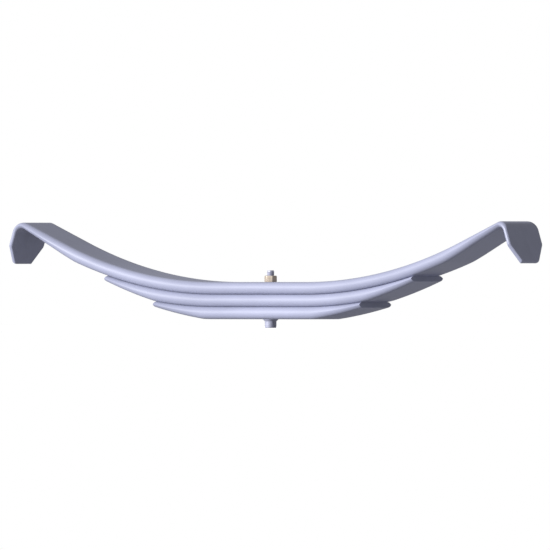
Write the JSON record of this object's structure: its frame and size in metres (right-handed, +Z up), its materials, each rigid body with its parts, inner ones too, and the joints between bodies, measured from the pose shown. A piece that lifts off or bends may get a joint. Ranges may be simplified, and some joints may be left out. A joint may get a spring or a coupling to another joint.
{
  "type": "slipper leaf spring",
  "caption": "Semi-elliptic slipper leaf spring with stacked tapered leaves on a centre bolt and a bent-down hook at each end of the main leaf.",
  "frame": {"origin": "on the centre bolt's axis, in the plane of the lowest leaf's underside, where the spring sits on its axle seat", "axes": "+X along the spring towards its longer end, +Y across the leaves, +Z up from the seat towards the hooks"},
  "size_m": [1.1636, 0.0762, 0.1712],
  "materials": {
    "leaf_steel": "satin grey primer over rolled spring steel",
    "bolt_steel": "plain steel, cold headed",
    "nut_zinc": "yellow passivated zinc"
  },
  "bodies": {
    "seat_stack": {"centre_bolt": "bolt_steel", "centre_nut": "nut_zinc", "second_leaf": "leaf_steel", "third_leaf": "leaf_steel"},
    "main_leaf": {"main_leaf": "leaf_steel"}
  },
  "joints": [
    {"name": "spring_deflection", "type": "slide", "parent": "seat_stack", "child": "main_leaf", "axis": [0, 0, -1], "range_m": [0, 0.06], "stiffness_N_per_m": 800000, "deforming": ["main_leaf", "second_leaf", "third_leaf"]}
  ]
}
